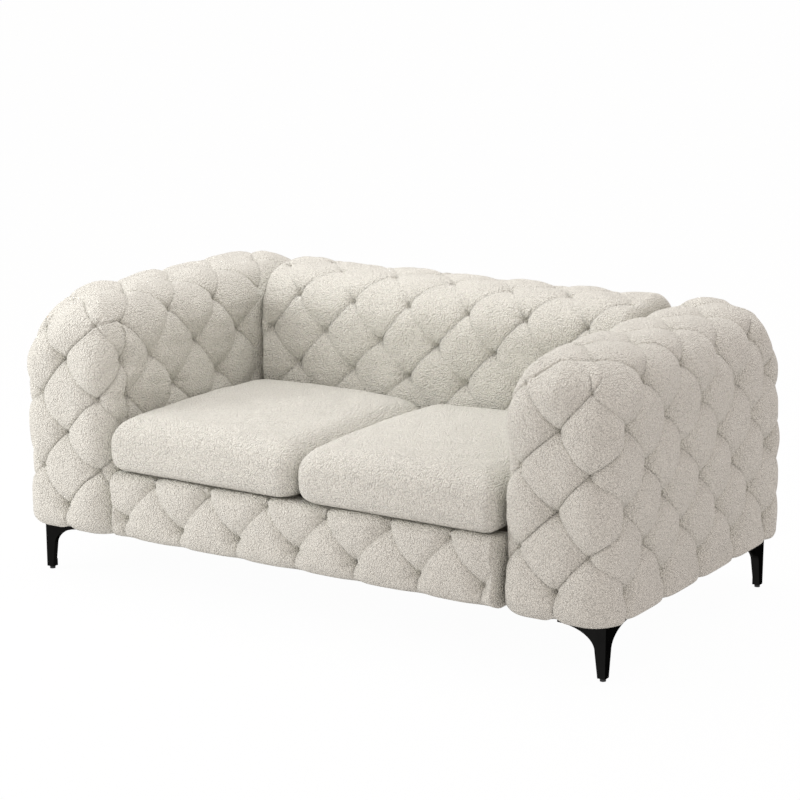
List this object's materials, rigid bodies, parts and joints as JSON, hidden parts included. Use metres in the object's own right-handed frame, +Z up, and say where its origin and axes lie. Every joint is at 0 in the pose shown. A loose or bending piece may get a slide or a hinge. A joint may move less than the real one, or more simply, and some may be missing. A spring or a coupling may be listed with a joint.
{
  "type": "tuxedo sofa",
  "caption": "Small tuxedo sofa: deep diamond-tufted arms and back of one height, loose smooth seat cushions, tufted front rail and black corner legs with levelling glides.",
  "frame": {"origin": "on the floor, under the middle of the sofa's box", "axes": "+X towards the arm on the right of the picture, +Y towards the back, +Z up; the sitter faces -Y"},
  "size_m": [1.664, 0.9539, 0.7227],
  "materials": {
    "upholstery_cream": "cream looped wool-look fabric, matt, with a fine grain",
    "cushion_cream": "the same cream fabric, smooth over the seat cushions",
    "foam": "open-cell foam, off-white",
    "frame_wood": "planed softwood and plywood, unfinished",
    "leg_metal": "satin black powder coat",
    "glide_black": "matt black plastic",
    "zinc_steel": "zinc-plated steel",
    "webbing": "elastic webbing, dark grey",
    "deck_cloth": "plain woven deck cloth over wadding",
    "dust_cloth": "thin black non-woven cloth"
  },
  "bodies": {
    "sofa": {"arm_frame_right": "frame_wood", "arm_frame_left": "frame_wood", "arm_panels_right": "frame_wood", "arm_panels_left": "frame_wood", "arm_foam_right": "foam", "arm_foam_left": "foam", "arm_cover_right": "upholstery_cream", "arm_cover_left": "upholstery_cream", "seat_frame": "frame_wood", "corner_blocks": "frame_wood", "front_rail_foam": "foam", "front_rail_cover": "upholstery_cream", "back_frame": "frame_wood", "back_webbing": "webbing", "back_foam": "foam", "back_cover": "upholstery_cream", "outside_back_panel": "upholstery_cream", "seat_springs": "zinc_steel", "spring_clips": "zinc_steel", "seat_deck": "deck_cloth", "dust_cover": "dust_cloth", "joining_bolts": "zinc_steel", "leg_front_right": "leg_metal", "leg_front_left": "leg_metal", "leg_rear_right": "leg_metal", "leg_rear_left": "leg_metal", "leg_screws": "zinc_steel"},
    "cushion_right": {"cushion_core_right": "foam", "cushion_cover_right": "cushion_cream"},
    "cushion_left": {"cushion_core_left": "foam", "cushion_cover_left": "cushion_cream"},
    "glide_front_right": {"glide_front_right": "glide_black"},
    "glide_front_left": {"glide_front_left": "glide_black"},
    "glide_rear_right": {"glide_rear_right": "glide_black"},
    "glide_rear_left": {"glide_rear_left": "glide_black"}
  },
  "joints": [
    {"name": "cushion_lift_right", "type": "slide", "parent": "sofa", "child": "cushion_right", "axis": [0, 0, 1], "range_m": [0, 0.45]},
    {"name": "cushion_lift_left", "type": "slide", "parent": "sofa", "child": "cushion_left", "axis": [0, 0, 1], "range_m": [0, 0.45]},
    {"name": "glide_level_front_right", "type": "slide", "parent": "sofa", "child": "glide_front_right", "axis": [0, 0, -1], "range_m": [0, 0.008]},
    {"name": "glide_level_front_left", "type": "slide", "parent": "sofa", "child": "glide_front_left", "axis": [0, 0, -1], "range_m": [0, 0.008]},
    {"name": "glide_level_rear_right", "type": "slide", "parent": "sofa", "child": "glide_rear_right", "axis": [0, 0, -1], "range_m": [0, 0.008]},
    {"name": "glide_level_rear_left", "type": "slide", "parent": "sofa", "child": "glide_rear_left", "axis": [0, 0, -1], "range_m": [0, 0.008]}
  ]
}
